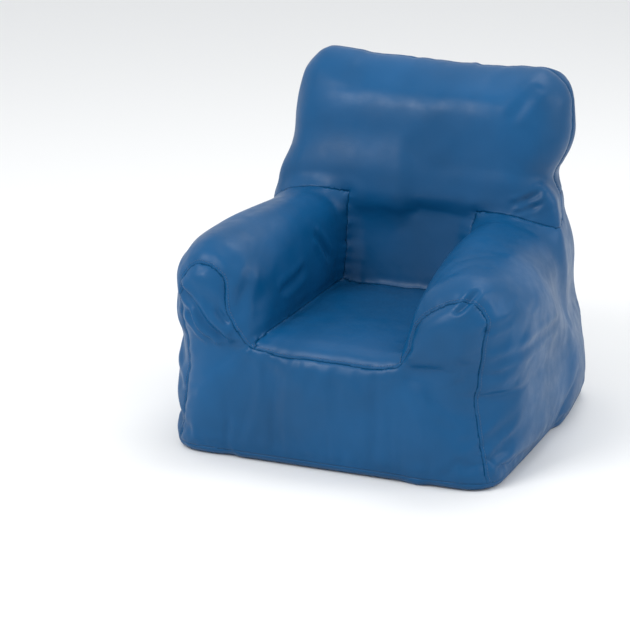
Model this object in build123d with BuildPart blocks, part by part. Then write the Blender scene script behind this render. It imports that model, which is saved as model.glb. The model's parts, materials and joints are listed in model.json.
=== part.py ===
"""Child's bean bag armchair in vinyl, in millimetres.

The frame is the chair's own: the origin is on the floor under the middle of the chair, +Z is up,
the sitter faces -Y, and the sitter's left hand is on the +X side.

The cover is a shell of sewn vinyl panels. Three lining dividers split it into a seat, two arms and a
back, and each of those holds a thin liner bag full of polystyrene beads. The liner bags go in through
a zip low on the rear panel, whose slider has no pull, and a vinyl flap hangs over that zip.
"""

import os
from math import cos, radians, sin, tan

from build123d import *

# ---------------------------------------------------------------- driving dimensions
body_width = 484.0  # across the widest part of the flanks
body_depth = 500.0  # from the front panel to the rear panel
overall_height = 508.0  # floor to the top of the head rest
arm_height = 300.0
seat_height = 165.0
seat_width = 220.0  # between the arms
shoulder_rise = 48.0  # from the top of the arms to the top of the lower back
head_overlap = 43.0  # from the head rest's underside up to the top of the lower back
head_depth_at_top = 118.0  # front to back, at the very top
back_lean = 9.5  # degrees that the front of the back leans from upright

# How the flanks lean in from the floor to the shoulders.
foot_width = 476.0
widest_height = 110.0
shoulder_width = 380.0
head_foot_width = 424.0
head_middle_width = 412.0
head_top_width = 376.0
head_middle_drop = 88.0  # from the top of the head rest down to its middle

# Rounding of the stuffed form.
plan_radius = 55.0  # upright corners of the body
head_plan_radius = 36.0  # upright corners of the head rest
plan_margin = 5.0  # that the outlines with those corners stand clear of the flanks' widest place
base_radius = 22.0  # bottom edge
arm_top_radius = 42.0  # inner and outer top edges of each arm
arm_nose_radius = 40.0  # front top edge of each arm
seat_nose_radius = 30.0  # front edge of the seat
shoulder_radius = 24.0
head_corner_radius = 58.0  # top corners of the head rest, seen from the front
head_edge_radius = 46.0  # front and rear top edges of the head rest

# Cloth and clearances.
cover_thickness = 1.4  # vinyl with its woven backing
cover_to_liner = 0.4
liner_thickness = 0.6
divider_thickness = 0.8
slack = 0.3  # between a liner bag and its beads, and beside a divider
touch = 0.1  # between sewn pieces that lie on each other
lap = 30.0  # how far the seat runs into the arms and the back, and the arms stop short of the rear corners

# Seams.
base_seam_height = 12.0
edge_seam_inset = 16.0  # from the front or rear plane back to the seam
back_seam_inset = 60.0  # from the front of the back to its boxing seam
notch_rise = 21.0  # from the head rest's underside up to the seam where it folds over the flank
stitch_offset = 4.5  # from a seam to its topstitching
thread_size = 0.8
thread_proud = 0.5

# Zip and flap.
zip_height = 72.0
zip_length = 340.0
slot_margin = 1.0  # of the slot between the rear panels, above and below the slider
tape_height = 15.0
tape_thickness = 0.7
tape_gap = 5.0  # between the two tapes
tape_end = 16.0  # of tape past the last tooth
slot_end = 10.0  # of slot past the last tooth
tooth_pitch = 4.0
tooth_width = 1.7
tooth_thickness = 2.6
tooth_reach = 1.2  # past the middle of the chain
spine_near = 1.6  # from the middle of the chain to the strip that carries the teeth
spine_far = 4.0
slider_length = 15.0
slider_height = 12.0
slider_plate = 1.0
slider_flange = 1.4
tooth_clearance = 0.2  # between the teeth and each of the slider's plates
slider_slot = 1.2  # that the tape runs through
crown_height = 1.8
crown_length = 9.0
crown_width = 3.0
crown_foot = 1.2  # length of each foot of the crown, which is an arch
crown_bar = 0.8
slider_corner = 1.5
slider_post = 2.6  # width of the post that parts the two rows of teeth
post_length = 2.4
post_setback = 0.6
slider_overhang = 4.0  # past the last tooth when the zip is shut
stop_length = 3.0
stop_height = 10.0
zip_recess = 3.0  # that the liner bag gives way behind the zip
recess_margin = 9.0
flap_length = 384.0
flap_drop = 46.0
flap_hem = 14.0
flap_thickness = 1.2
flap_stand_off = 4.0  # from the rear panel to the middle of the flap
flap_shoulder = 14.0  # height over which the flap comes away from the panel
fold_half = 1.2  # from the hinge line to the flap, and to its hem
fold_thickness = 0.6
flap_root = 2.0  # of flap that is in line with its hem
flap_stitching_margin = 4.0

# ---------------------------------------------------------------- derived places
overall_depth = body_depth + flap_stand_off + flap_thickness / 2
front_y = -overall_depth / 2
rear_y = front_y + body_depth
seat_half = seat_width / 2
front_seam_y = front_y + edge_seam_inset
rear_seam_y = rear_y - edge_seam_inset
liner_inset = cover_thickness + cover_to_liner
liner_inner_inset = liner_inset + liner_thickness
bead_inset = liner_inner_inset + slack
zip_half = zip_length / 2
zip_slot = slider_height + 2 * slot_margin
slider_inside = tooth_thickness + 2 * tooth_clearance
shoulder_height = arm_height + shoulder_rise
head_foot = shoulder_height - head_overlap
notch_height = head_foot + notch_rise
BIG = 4 * overall_height
MIN, MID, MAX = Align.MIN, Align.CENTER, Align.MAX

# The back's front face rises from the crease behind the seat and leans rearwards.
lean = radians(back_lean)
crease_y = rear_y - head_depth_at_top - (overall_height - seat_height) * tan(lean)
up_the_back = Vector(0, sin(lean), cos(lean))
into_the_back = Vector(0, cos(lean), -sin(lean))


def back_front_at(height):
    """Y of the back's front face at a height."""
    return crease_y + (height - seat_height) * tan(lean)


def back_plane(shift):
    """The back's front face, moved rearwards by shift, with its normal to the rear."""
    foot = Vector(0, crease_y, seat_height) + into_the_back * shift
    return Plane(origin=foot, x_dir=(1, 0, 0), z_dir=into_the_back)


# ---------------------------------------------------------------- outlines of the stuffed form
def plan_outline(inset, width, front, rear, radius, height):
    """Seen from above: a rounded rectangle."""
    with BuildSketch(Plane.XY.offset(height)) as outline:
        with Locations((0, (front + rear) / 2)):
            RectangleRounded(width - 2 * inset, rear - front - 2 * inset, radius - inset)
    return outline.sketch


def flank_outline(foot_half, middle, top_half, top, foot):
    """Seen from the front: a shape whose two sides are one arc each."""
    with BuildSketch(Plane.XZ) as outline:
        with BuildLine():
            side = ThreePointArc((foot_half, foot), middle, (top_half, top))
            Polyline(side @ 1, (0, top), (0, foot), side @ 0)
        make_face()
        mirror(about=Plane.YZ)
    return outline.sketch


body_flanks = flank_outline(
    foot_width / 2, (body_width / 2, widest_height), shoulder_width / 2, shoulder_height, 0
)
head_flanks = flank_outline(
    head_foot_width / 2,
    (head_middle_width / 2, overall_height - head_middle_drop),
    head_top_width / 2,
    overall_height,
    head_foot,
)


def arm_front_outline(inset):
    """Seen from the front: the arm on the +X side."""
    with BuildSketch(Plane.XZ) as outline:
        add(body_flanks)
        with Locations((seat_half, 0)):
            Rectangle(BIG, arm_height, align=(MIN, MIN), mode=Mode.INTERSECT)
        fillet(outline.vertices().group_by(Axis.Y)[-1], arm_top_radius)
        fillet(outline.vertices().group_by(Axis.Y)[0].sort_by(Axis.X)[-1], base_radius)
        offset(amount=-inset, mode=Mode.REPLACE)
    return outline.sketch


def lower_back_front_outline(inset):
    with BuildSketch(Plane.XZ) as outline:
        add(body_flanks)
        fillet(outline.vertices().group_by(Axis.Y)[-1], shoulder_radius)
        corners = outline.vertices().group_by(Axis.Y)[0].sort_by(Axis.X)
        fillet([corners[0], corners[-1]], base_radius)
        offset(amount=-inset, mode=Mode.REPLACE)
    return outline.sketch


def head_front_outline(inset):
    with BuildSketch(Plane.XZ) as outline:
        add(head_flanks)
        fillet(outline.vertices().group_by(Axis.Y)[-1], head_corner_radius)
        offset(amount=-inset, mode=Mode.REPLACE)
    return outline.sketch


def block_side_outline(inset, rear, top, nose_radius):
    """Seen from the side: a block from the front of the chair to rear, with a rounded nose."""
    with BuildSketch(Plane.YZ) as outline:
        with Locations((front_y, 0)):
            Rectangle(rear - front_y, top, align=(MIN, MIN))
        foremost = outline.vertices().group_by(Axis.X)[0].sort_by(Axis.Y)
        fillet(foremost[0], base_radius)
        fillet(outline.vertices().group_by(Axis.X)[0].sort_by(Axis.Y)[-1], nose_radius)
        offset(amount=-inset, mode=Mode.REPLACE)
    return outline.sketch


def lower_back_side_outline(inset):
    with BuildSketch(Plane.YZ) as outline:
        with BuildLine():
            Polyline(
                (back_front_at(0), 0),
                (rear_y, 0),
                (rear_y, shoulder_height),
                (back_front_at(shoulder_height), shoulder_height),
                close=True,
            )
        make_face()
        fillet(outline.vertices().group_by(Axis.Y)[0].sort_by(Axis.X)[-1], base_radius)
        offset(amount=-inset, mode=Mode.REPLACE)
    return outline.sketch


def head_side_outline(inset):
    with BuildSketch(Plane.YZ) as outline:
        with BuildLine():
            Polyline(
                (back_front_at(head_foot), head_foot),
                (rear_y, head_foot),
                (rear_y, overall_height),
                (back_front_at(overall_height), overall_height),
                close=True,
            )
        make_face()
        fillet(outline.vertices().group_by(Axis.Y)[-1], head_edge_radius)
        offset(amount=-inset, mode=Mode.REPLACE)
    return outline.sketch


# ---------------------------------------------------------------- the stuffed form
def chair_form(inset):
    """The stuffed chair as one solid, with every outer face taken in by inset."""
    arms_plan = plan_outline(inset, body_width + 2 * plan_margin, front_y, rear_y, plan_radius, inset)
    back_plan = plan_outline(inset, body_width, front_y, rear_y, plan_radius, inset)
    head_front = back_front_at(head_foot)
    head_plan_width = head_foot_width + 2 * plan_margin
    head_plan = plan_outline(inset, head_plan_width, front_y, rear_y, head_plan_radius, head_foot + inset)
    # Only the front corners of the leaning outline are used, so its rear edge is set well behind the chair.
    far_rear = rear_y + head_foot
    lean_plan = plan_outline(inset, head_plan_width, head_front, far_rear, head_plan_radius, head_foot)

    with BuildPart() as arms:
        extrude(arms_plan, amount=arm_height)
        extrude(arm_front_outline(inset), amount=BIG, both=True, mode=Mode.INTERSECT)
        arm_side = block_side_outline(inset, rear_y - plan_radius - lap, arm_height, arm_nose_radius)
        extrude(arm_side, amount=BIG, both=True, mode=Mode.INTERSECT)
        mirror(about=Plane.YZ)

    with BuildPart() as seat:
        seat_side = block_side_outline(inset, crease_y + lap, seat_height, seat_nose_radius)
        extrude(seat_side, amount=seat_half + lap, both=True)

    with BuildPart() as lower_back:
        extrude(back_plan, amount=shoulder_height)
        extrude(lower_back_front_outline(inset), amount=BIG, both=True, mode=Mode.INTERSECT)
        extrude(lower_back_side_outline(inset), amount=BIG, both=True, mode=Mode.INTERSECT)

    with BuildPart() as head:
        extrude(head_plan, amount=overall_height)
        extrude(lean_plan, amount=overall_height, dir=up_the_back, mode=Mode.INTERSECT)
        extrude(head_front_outline(inset), amount=BIG, both=True, mode=Mode.INTERSECT)
        extrude(head_side_outline(inset), amount=BIG, both=True, mode=Mode.INTERSECT)

    with BuildPart() as form:
        add(lower_back.part)
        add(arms.part)
        add(seat.part)
        add(head.part)
    return form.part


cover_outside = chair_form(0)
cover_inside = chair_form(cover_thickness)

with BuildPart() as cover_shell:
    add(cover_outside)
    add(cover_inside, mode=Mode.SUBTRACT)


# ---------------------------------------------------------------- sewn panels of the cover
os.makedirs("parts", exist_ok=True)


def save(piece, node):
    piece.part.label = node
    export_step(piece.part, "parts/" + node + ".step")


with BuildPart() as base_panel:
    add(cover_shell.part)
    Box(BIG, BIG, 2 * base_seam_height, mode=Mode.INTERSECT)
save(base_panel, "base_panel")

with BuildPart() as front_panel:
    add(cover_shell.part)
    with Locations((0, front_seam_y, base_seam_height)):
        Box(BIG, BIG, BIG, align=(MID, MAX, MIN), mode=Mode.INTERSECT)
save(front_panel, "front_panel")

with BuildPart() as rear_shell:
    add(cover_shell.part)
    with Locations((0, rear_seam_y, base_seam_height)):
        Box(BIG, BIG, BIG, align=(MID, MIN, MIN), mode=Mode.INTERSECT)
    with Locations((0, rear_y, zip_height)):
        Box(zip_length + 2 * slot_end, edge_seam_inset, zip_slot, mode=Mode.SUBTRACT)

with BuildPart() as rear_upper_panel:
    add(rear_shell.part)
    with Locations((0, 0, zip_height)):
        Box(BIG, BIG, BIG, align=(MID, MID, MIN), mode=Mode.INTERSECT)
save(rear_upper_panel, "rear_upper_panel")

with BuildPart() as rear_lower_panel:
    add(rear_shell.part)
    with Locations((0, 0, zip_height)):
        Box(BIG, BIG, BIG, align=(MID, MID, MAX), mode=Mode.INTERSECT)
save(rear_lower_panel, "rear_lower_panel")

# Between the front and rear seams, above the base seam.
with BuildPart() as wrap_shell:
    add(cover_shell.part)
    with Locations((0, front_seam_y, base_seam_height)):
        Box(BIG, rear_seam_y - front_seam_y, BIG, align=(MID, MIN, MIN), mode=Mode.INTERSECT)

# The front of the back: between the arms from the seat up, and full width above the arms.
with BuildPart() as back_front_region:
    with BuildSketch(Plane.XZ):
        with Locations((0, seat_height)):
            Rectangle(seat_width, BIG, align=(MID, MIN))
        with Locations((0, arm_height)):
            Rectangle(BIG, BIG, align=(MID, MIN))
    extrude(amount=BIG, both=True)
    with Locations(back_plane(back_seam_inset)):
        Box(2 * BIG, 4 * BIG, 2 * back_seam_inset, align=(MID, MID, MAX), mode=Mode.INTERSECT)

with BuildPart() as back_front_panel:
    add(wrap_shell.part)
    add(back_front_region.part, mode=Mode.INTERSECT)
save(back_front_panel, "back_front_panel")

with BuildPart() as wrap_rest:
    add(wrap_shell.part)
    add(back_front_region.part, mode=Mode.SUBTRACT)

with BuildPart() as back_boxing_panel:
    add(wrap_rest.part)
    with Locations((0, 0, notch_height)):
        Box(BIG, BIG, BIG, align=(MID, MID, MIN), mode=Mode.INTERSECT)
save(back_boxing_panel, "back_boxing_panel")

with BuildPart() as seat_panel:
    add(wrap_rest.part)
    Box(seat_width, BIG, 2 * seat_height, mode=Mode.INTERSECT)
save(seat_panel, "seat_panel")

with BuildPart() as left_arm_panel:
    add(wrap_rest.part)
    with Locations((seat_half, 0, 0)):
        Box(BIG, BIG, notch_height, align=(MIN, MID, MIN), mode=Mode.INTERSECT)
save(left_arm_panel, "left_arm_panel")

with BuildPart() as right_arm_panel:
    mirror(left_arm_panel.part, about=Plane.YZ)
save(right_arm_panel, "right_arm_panel")

# ---------------------------------------------------------------- lining dividers
with BuildPart() as back_divider:
    add(cover_inside)
    with Locations(back_plane(slack)):
        Box(2 * BIG, 4 * BIG, divider_thickness, align=(MID, MID, MIN), mode=Mode.INTERSECT)
save(back_divider, "back_divider")

with BuildPart() as left_arm_divider:
    add(cover_inside)
    with Locations((seat_half + slack, 0, 0)):
        Box(divider_thickness, BIG, BIG, align=(MIN, MID, MID), mode=Mode.INTERSECT)
    with Locations(back_plane(0)):
        Box(2 * BIG, 4 * BIG, BIG, align=(MID, MID, MAX), mode=Mode.INTERSECT)
save(left_arm_divider, "left_arm_divider")

with BuildPart() as right_arm_divider:
    mirror(left_arm_divider.part, about=Plane.YZ)
save(right_arm_divider, "right_arm_divider")


# ---------------------------------------------------------------- liner bags and their beads
def compartments(inset):
    """The seat's, the +X arm's and the back's share of the inside, taken in by inset."""
    form = chair_form(inset)
    gap = inset - liner_inset

    with BuildPart() as front_half:
        add(form)
        with Locations(back_plane(-gap)):
            Box(2 * BIG, 4 * BIG, BIG, align=(MID, MID, MAX), mode=Mode.INTERSECT)

    with BuildPart() as seat_share:
        add(front_half.part)
        Box(seat_width - 2 * (slack + gap), BIG, BIG, mode=Mode.INTERSECT)

    with BuildPart() as arm_share:
        add(front_half.part)
        with Locations((seat_half + inset, 0, 0)):
            Box(BIG, BIG, BIG, align=(MIN, MID, MID), mode=Mode.INTERSECT)

    with BuildPart() as back_share:
        add(form)
        with Locations(back_plane(inset)):
            Box(2 * BIG, 4 * BIG, BIG, align=(MID, MID, MIN), mode=Mode.INTERSECT)
        recess_half_length = zip_half + tape_end + recess_margin + gap
        recess_half_height = tape_gap / 2 + tape_height + recess_margin + gap
        with Locations((0, rear_y - inset - zip_recess, zip_height)):
            recess = (2 * recess_half_length, BIG, 2 * recess_half_height)
            Box(*recess, align=(MID, MIN, MID), mode=Mode.SUBTRACT)
    return seat_share.part, arm_share.part, back_share.part


seat_outside, arm_outside, back_outside = compartments(liner_inset)
seat_inside, arm_inside, back_inside = compartments(liner_inner_inset)
seat_beads, arm_beads, back_beads = compartments(bead_inset)

with BuildPart() as seat_liner:
    add(seat_outside)
    add(seat_inside, mode=Mode.SUBTRACT)
save(seat_liner, "seat_liner")

with BuildPart() as back_liner:
    add(back_outside)
    add(back_inside, mode=Mode.SUBTRACT)
save(back_liner, "back_liner")

with BuildPart() as left_arm_liner:
    add(arm_outside)
    add(arm_inside, mode=Mode.SUBTRACT)
save(left_arm_liner, "left_arm_liner")

with BuildPart() as right_arm_liner:
    mirror(left_arm_liner.part, about=Plane.YZ)
save(right_arm_liner, "right_arm_liner")

with BuildPart() as seat_bead_fill:
    add(seat_beads)
save(seat_bead_fill, "seat_bead_fill")

with BuildPart() as back_bead_fill:
    add(back_beads)
save(back_bead_fill, "back_bead_fill")

with BuildPart() as left_arm_bead_fill:
    add(arm_beads)
save(left_arm_bead_fill, "left_arm_bead_fill")

with BuildPart() as right_arm_bead_fill:
    mirror(left_arm_bead_fill.part, about=Plane.YZ)
save(right_arm_bead_fill, "right_arm_bead_fill")

# ---------------------------------------------------------------- topstitching
with BuildPart() as thread_skin:
    add(chair_form(-thread_proud))
    add(cover_outside, mode=Mode.SUBTRACT)

with BuildPart() as front_seam_stitching:
    add(thread_skin.part)
    with Locations((0, front_seam_y + stitch_offset, base_seam_height + stitch_offset)):
        Box(BIG, thread_size, BIG, align=(MID, MID, MIN), mode=Mode.INTERSECT)
save(front_seam_stitching, "front_seam_stitching")

with BuildPart() as rear_seam_stitching:
    add(thread_skin.part)
    with Locations((0, rear_seam_y - stitch_offset, base_seam_height + stitch_offset)):
        Box(BIG, thread_size, BIG, align=(MID, MID, MIN), mode=Mode.INTERSECT)
save(rear_seam_stitching, "rear_seam_stitching")

with BuildPart() as back_seam_stitching:
    add(thread_skin.part)
    with Locations(back_plane(back_seam_inset + stitch_offset)):
        Box(2 * BIG, 4 * BIG, thread_size, mode=Mode.INTERSECT)
    with Locations((0, 0, notch_height + stitch_offset)):
        Box(BIG, BIG, BIG, align=(MID, MID, MIN), mode=Mode.INTERSECT)
save(back_seam_stitching, "back_seam_stitching")

with BuildPart() as zip_stitching_upper:
    with Locations((0, rear_y, zip_height + zip_slot / 2 + stitch_offset)):
        Box(zip_length, thread_proud, thread_size, align=(MID, MIN, MID))
save(zip_stitching_upper, "zip_stitching_upper")

with BuildPart() as zip_stitching_lower:
    mirror(zip_stitching_upper.part, about=Plane.XY.offset(zip_height))
save(zip_stitching_lower, "zip_stitching_lower")

# ---------------------------------------------------------------- zip
chain_y = rear_y - cover_thickness - touch - tape_thickness / 2
tape_edge = tape_gap / 2
tape_slot = tape_thickness + 2 * touch
zip_mirror = Plane.XY.offset(zip_height)

with BuildPart() as zip_tape_upper:
    with Locations((0, chain_y, zip_height + tape_edge)):
        Box(zip_length + 2 * tape_end, tape_thickness, tape_height, align=(MID, MID, MIN))
save(zip_tape_upper, "zip_tape_upper")

with BuildPart() as zip_tape_lower:
    mirror(zip_tape_upper.part, about=zip_mirror)
save(zip_tape_lower, "zip_tape_lower")


def zip_teeth(first_x, count):
    """The upper tape's row of teeth on the strip that grips the tape."""
    with BuildPart() as row:
        with Locations((0, chain_y, zip_height + spine_near)):
            Box(zip_length, tooth_thickness, spine_far - spine_near, align=(MID, MID, MIN))
        with Locations((0, chain_y, zip_height + tape_edge - touch)):
            Box(BIG, tape_slot, BIG, align=(MID, MID, MIN), mode=Mode.SUBTRACT)
        with BuildSketch(Plane.XZ.offset(-chain_y)):
            middle = zip_height + (spine_near - tooth_reach) / 2
            with Locations((first_x + (count - 1) * tooth_pitch / 2, middle)):
                with GridLocations(tooth_pitch, 1, count, 1):
                    Rectangle(tooth_width, spine_near + tooth_reach)
        extrude(amount=tooth_thickness / 2, both=True)
    return row.part


tooth_count = int((zip_length - tooth_width) / tooth_pitch)
first_tooth = -zip_half + tooth_pitch / 2

with BuildPart() as zip_coil_upper:
    add(zip_teeth(first_tooth, tooth_count))
save(zip_coil_upper, "zip_coil_upper")

with BuildPart() as zip_coil_lower:
    mirror(zip_teeth(first_tooth + tooth_pitch / 2, tooth_count), about=zip_mirror)
save(zip_coil_lower, "zip_coil_lower")

# The slider rests past the last tooth at the +X end, where the zip is shut.
slider_x = zip_half + slider_overhang - slider_length / 2
plate_far = slider_inside / 2 + slider_plate

with BuildPart() as zip_slider:
    with BuildSketch(Plane.XZ.offset(-chain_y)):
        with Locations((slider_x, zip_height)):
            RectangleRounded(slider_length, slider_height, slider_corner)
    extrude(amount=plate_far, both=True)
    with Locations((slider_x, chain_y, zip_height)):
        channel_height = slider_height - 2 * slider_flange
        Box(slider_length, slider_inside, channel_height, mode=Mode.SUBTRACT)
        Box(slider_length, slider_slot, slider_height, mode=Mode.SUBTRACT)
    with Locations((slider_x + slider_length / 2 - post_setback, chain_y, zip_height)):
        Box(post_length, slider_inside + slider_plate, slider_post, align=(MAX, MID, MID))
    with Locations((slider_x, chain_y + plate_far, zip_height)):
        Box(crown_length, crown_height, crown_width, align=(MID, MIN, MID))
        crown_hole = (crown_length - 2 * crown_foot, crown_height - crown_bar, crown_width)
        Box(*crown_hole, align=(MID, MIN, MID), mode=Mode.SUBTRACT)
save(zip_slider, "zip_slider")


def zip_stop(x):
    """A stop across both tapes, clamped over them."""
    with BuildPart() as stop:
        with Locations((x, chain_y, zip_height)):
            Box(stop_length, tooth_thickness, stop_height)
        with Locations((x, chain_y, zip_height + tape_edge - touch)):
            Box(stop_length, tape_slot, stop_height, align=(MID, MID, MIN), mode=Mode.SUBTRACT)
        with Locations((x, chain_y, zip_height - tape_edge + touch)):
            Box(stop_length, tape_slot, stop_height, align=(MID, MID, MAX), mode=Mode.SUBTRACT)
    return stop.part


with BuildPart() as zip_stop_closed:
    add(zip_stop(zip_half + slider_overhang + stop_length))
save(zip_stop_closed, "zip_stop_closed")

with BuildPart() as zip_stop_open:
    add(zip_stop(-zip_half - stop_length))
save(zip_stop_open, "zip_stop_open")

# ---------------------------------------------------------------- flap over the zip
flap_hinge_z = zip_height + flap_drop / 2
flap_hinge_y = rear_y + touch + flap_thickness / 2

with BuildPart() as zip_flap_hem:
    with Locations((0, flap_hinge_y, flap_hinge_z + fold_half)):
        Box(flap_length, flap_thickness, flap_hem, align=(MID, MID, MIN))
save(zip_flap_hem, "zip_flap_hem")

with BuildPart() as zip_flap_fold:
    with Locations((0, flap_hinge_y, flap_hinge_z)):
        Box(flap_length, fold_thickness, 2 * fold_half)
save(zip_flap_fold, "zip_flap_fold")

with BuildPart() as zip_flap:
    with BuildSketch(Plane.YZ):
        with BuildLine():
            Polyline(
                (flap_hinge_y, flap_hinge_z - fold_half - flap_thickness / 2),
                (flap_hinge_y, flap_hinge_z - fold_half - flap_root),
                (rear_y + flap_stand_off, flap_hinge_z - flap_shoulder),
                (rear_y + flap_stand_off, flap_hinge_z - flap_drop + flap_thickness / 2),
            )
            offset(amount=flap_thickness / 2, side=Side.BOTH)
        make_face()
    extrude(amount=flap_length / 2, both=True)
save(zip_flap, "zip_flap")

with BuildPart() as flap_stitching:
    with Locations((0, flap_hinge_y + flap_thickness / 2, flap_hinge_z + fold_half + flap_hem / 2)):
        Box(flap_length - 2 * flap_stitching_margin, thread_proud, thread_size, align=(MID, MIN, MID))
save(flap_stitching, "flap_stitching")
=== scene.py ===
"""The look of a child's bean bag armchair, sewn around its CAD frame. Metres, +Z up, the sitter faces -Y.

The stuffed form is one closed skin, found as the zero surface of a distance field that is built from the
CAD panels' boxes. The skin is cut along the seams, blown up and puckered as cloth, creased, and then
parted into its vinyl panels. The sitter's left hand is on the +X side.
"""

import json
import math

import bmesh
import bpy
import numpy as np
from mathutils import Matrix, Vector
from mathutils.bvhtree import BVHTree
from mathutils.kdtree import KDTree


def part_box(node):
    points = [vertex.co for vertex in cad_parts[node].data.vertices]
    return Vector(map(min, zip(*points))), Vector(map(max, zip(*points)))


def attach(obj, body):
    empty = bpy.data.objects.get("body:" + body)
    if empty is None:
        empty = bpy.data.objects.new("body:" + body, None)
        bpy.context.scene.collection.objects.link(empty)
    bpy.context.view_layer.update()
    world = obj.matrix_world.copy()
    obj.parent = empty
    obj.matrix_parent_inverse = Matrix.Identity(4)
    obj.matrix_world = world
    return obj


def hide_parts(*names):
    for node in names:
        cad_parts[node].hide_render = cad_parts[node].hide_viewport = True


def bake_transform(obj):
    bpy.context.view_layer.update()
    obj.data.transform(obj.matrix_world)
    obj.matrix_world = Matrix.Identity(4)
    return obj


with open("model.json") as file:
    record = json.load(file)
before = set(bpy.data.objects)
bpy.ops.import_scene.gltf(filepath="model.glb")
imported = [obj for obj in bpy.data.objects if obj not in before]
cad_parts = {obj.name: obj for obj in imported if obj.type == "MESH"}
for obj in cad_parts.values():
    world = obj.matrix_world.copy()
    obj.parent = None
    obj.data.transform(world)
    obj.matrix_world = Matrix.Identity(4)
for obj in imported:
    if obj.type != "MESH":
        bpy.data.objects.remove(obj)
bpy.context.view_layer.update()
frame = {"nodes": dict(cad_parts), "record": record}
MM = 0.001

# -------------------- places taken from the frame
left_low, left_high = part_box("left_arm_panel")
front_low, front_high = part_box("front_panel")
rear_low, rear_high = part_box("rear_upper_panel")
_, boxing_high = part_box("back_boxing_panel")
_, seat_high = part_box("seat_panel")
_, base_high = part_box("base_panel")

FRONT_Y = front_low.y
REAR_Y = rear_high.y
FRONT_SEAM_Y = front_high.y
REAR_SEAM_Y = rear_low.y
BASE_SEAM_Z = base_high.z
HALF_WIDTH = left_high.x
SEAT_HALF = left_low.x
SEAT_Z = seat_high.z
ARM_Z = front_high.z
NOTCH_Z = left_high.z
TOP_Z = boxing_high.z
SHOULDER_Z = ARM_Z + 48 * MM
ZIP_Z = rear_low.z
LEAN_ANGLE = math.radians(9.5)
LEAN = math.tan(LEAN_ANGLE)
VINYL_THICKNESS = 1.4 * MM
CREASE_Y = seat_high.y - VINYL_THICKNESS

# The rear stays flat this far above, below and beside the middle of the zip.
ZIP_FLAT_RISE = 26 * MM
ZIP_FLAT_HALF = 196 * MM

GRID = 7.0 * MM


def back_y(z):
    """Y of the back's front face at a height."""
    return CREASE_Y + (z - SEAT_Z) * LEAN


def behind_back(p):
    """How far a point lies behind the plane that the back's front face is made on."""
    return (p[..., 1] - back_y(p[..., 2])) * math.cos(LEAN_ANGLE)


def beyond_zip(p):
    """How far a point on the rear lies outside the flat place around the zip."""
    return np.maximum(np.abs(p[..., 2] - ZIP_Z) - ZIP_FLAT_RISE, np.abs(p[..., 0]) - ZIP_FLAT_HALF)


# -------------------- the stuffed form, as a field
SHARP = 1 * MM
FOOT_RADIUS = 14 * MM
HEAD_DIP = 0.03


def round_max(a, b, radius):
    """Where both hold, with the edge between them rounded."""
    corner = np.hypot(np.maximum(a + radius, 0), np.maximum(b + radius, 0))
    return np.minimum(np.maximum(a, b), -radius) + corner


def soft_min(a, b, radius):
    """Where either holds, with the crease between them filled a little."""
    h = np.maximum(radius - np.abs(a - b), 0) / radius
    return np.minimum(a, b) - h * h * radius / 4


def hump(t):
    """1 in the middle, 0 at t = -1 and 1."""
    return np.clip(1 - t * t, 0, 1)


def step_up(t):
    """0 up to t = 0, then a smooth rise to 1 at t = 1."""
    t = np.clip(t, 0, 1)
    return t * t * (3 - 2 * t)


def arc_x(z, a, b, c):
    """X at height z on the circle through three (x, z) points, on its +X side."""
    rows = [[2 * (p[0] - a[0]), 2 * (p[1] - a[1])] for p in (b, c)]
    sums = [p[0] ** 2 + p[1] ** 2 - a[0] ** 2 - a[1] ** 2 for p in (b, c)]
    cx, cz = np.linalg.solve(np.array(rows), np.array(sums))
    radius = math.hypot(a[0] - cx, a[1] - cz)
    return cx + np.sqrt(np.maximum(radius**2 - (z - cz) ** 2, 0))


def flank(z):
    """Half width of the body at a height: one arc through the foot, the widest place and the shoulder."""
    return arc_x(z, (241 * MM, 0.0), (236 * MM, 120 * MM), (213 * MM, SHOULDER_Z))


def rightness(x):
    """1 on the sitter's right, 0 on the left, with a soft change in the middle."""
    return step_up(0.5 - x / (40 * MM))


def flank_field(p):
    """Outside the flanks: fullest low in the middle, and drawn in at the rear."""
    x, y, z = p[..., 0], p[..., 1], p[..., 2]
    along = (y - FRONT_Y) / (REAR_Y - FRONT_Y)
    right = rightness(x)
    left = 1 - right
    width = flank(np.clip(z, 0, SHOULDER_Z)) + 8 * MM * hump((along - 0.42) / 0.6) - 2 * MM
    width = width - 10 * MM * step_up((along - 0.6) / 0.4) * step_up((240 * MM - z) / (90 * MM))
    ahead = 1 - step_up((y - 60 * MM) / (140 * MM))
    width = width + (20 * MM * left * ahead + 8 * MM * right * ahead) * hump((z - 285 * MM) / (150 * MM))
    return np.abs(x) - width


def front_field(p):
    """Ahead of the front, which bulges under each arm's nose and low down."""
    side, y, z = np.abs(p[..., 0]), p[..., 1], p[..., 2]
    belly = 8 * MM * hump((side - 172 * MM) / (95 * MM)) * hump((z - 190 * MM) / (150 * MM))
    belly = belly + 5 * MM * hump((z - 60 * MM) / (110 * MM))
    return FRONT_Y - y + 4 * MM - belly


def rear_field(p):
    """Behind the rear, which is flat around the zip and rounded towards its edges."""
    x, y, z = p[..., 0], p[..., 1], p[..., 2]
    rounded = 9 * MM * (1 - hump(x / (250 * MM)) * hump((z - 230 * MM) / (290 * MM)))
    return y - REAR_Y + (rounded + 8 * MM) * step_up(beyond_zip(p) / (60 * MM))


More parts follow.
